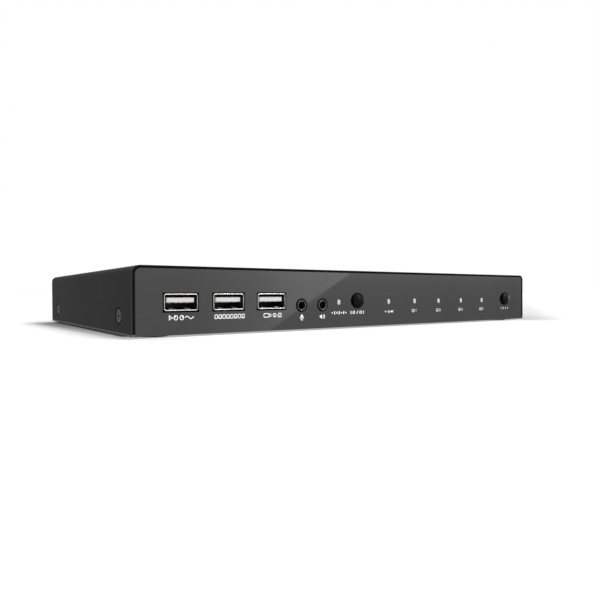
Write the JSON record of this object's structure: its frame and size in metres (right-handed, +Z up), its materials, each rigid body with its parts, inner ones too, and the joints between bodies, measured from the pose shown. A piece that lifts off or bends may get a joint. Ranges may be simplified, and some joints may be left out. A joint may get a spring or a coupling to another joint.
{
  "type": "kvm switch",
  "caption": "Desktop KVM switch: flat black sheet-metal case with a glossy front of sockets, audio jacks, lamps and push buttons, and rear video, host and power sockets.",
  "frame": {"origin": "middle of the footprint, on the surface that the feet stand on", "axes": "+X along the width, to the right of someone facing the front; the front faces -Y; +Z up"},
  "size_m": [0.23, 0.1552, 0.0261],
  "materials": {
    "cover_paint": "fine textured black powder coat",
    "chassis_paint": "satin black powder coat",
    "panel_gloss": "polished dark grey acrylic",
    "screw_black": "black oxide",
    "foot_rubber": "matt",
    "port_steel": "bright nickel plate",
    "port_white": "moulded",
    "port_black": "moulded",
    "contact_gold": "gold flash",
    "jack_black": "moulded",
    "lens_white": "milky translucent",
    "button_black": "polished",
    "switch_plastic": "moulded",
    "board_green": "solder mask",
    "standoff_brass": "nickel flash over brass",
    "steel_zinc": "zinc plate",
    "chip_black": "moulded epoxy",
    "heat_sink_aluminium": "anodised",
    "can_aluminium": "bright",
    "ferrite": "sintered"
  },
  "bodies": {
    "case": {"audio_chip": "chip_black", "audio_light_pipe": "lens_white", "audio_switch_body": "switch_plastic", "beeper": "chip_black", "board_screws": "steel_zinc", "board_standoffs": "standoff_brass", "capacitors": "can_aluminium", "chassis": "chassis_paint", "computer_1_light_pipe": "lens_white", "computer_2_light_pipe": "lens_white", "computer_3_light_pipe": "lens_white", "computer_4_light_pipe": "lens_white", "cover_screws": "screw_black", "crystal": "can_aluminium", "device_port_shell": "port_steel", "device_port_tongue": "port_white", "foot_front_left": "foot_rubber", "foot_front_right": "foot_rubber", "foot_rear_left": "foot_rubber", "foot_rear_right": "foot_rubber", "front_panel": "panel_gloss", "heat_sink": "heat_sink_aluminium", "host_inserts": "port_black", "host_port_1_shell": "port_steel", "host_port_2_shell": "port_steel", "host_port_3_shell": "port_steel", "host_port_4_shell": "port_steel", "hub_chip": "chip_black", "indicator_leds": "lens_white", "jack_contacts": "contact_gold", "keyboard_port_shell": "port_steel", "keyboard_port_tongue": "port_white", "main_board": "board_green", "microcontroller": "chip_black", "microphone_jack_body": "jack_black", "mouse_port_shell": "port_steel", "mouse_port_tongue": "port_white", "port_contacts": "contact_gold", "power_inductor": "ferrite", "power_jack_body": "jack_black", "power_jack_nut": "steel_zinc", "power_jack_pin": "steel_zinc", "power_light_pipe": "lens_white", "select_switch_body": "switch_plastic", "speaker_jack_body": "jack_black", "top_cover": "cover_paint", "video_in_1_shell": "port_steel", "video_in_2_shell": "port_steel", "video_in_3_shell": "port_steel", "video_in_4_shell": "port_steel", "video_out_shell": "port_steel", "video_switch_chip": "chip_black", "video_tongues": "port_black", "voltage_regulator": "chip_black"},
    "audio_button": {"audio_button_cap": "button_black", "audio_button_plunger": "switch_plastic"},
    "select_button": {"select_button_cap": "button_black", "select_button_plunger": "switch_plastic"}
  },
  "joints": [
    {"name": "audio_press", "type": "slide", "parent": "case", "child": "audio_button", "axis": [0, 1, 0], "range_m": [0, 0.0005], "stiffness_N_per_m": 1000, "springref_m": -0.001},
    {"name": "select_press", "type": "slide", "parent": "case", "child": "select_button", "axis": [0, 1, 0], "range_m": [0, 0.0005], "stiffness_N_per_m": 1000, "springref_m": -0.001}
  ]
}
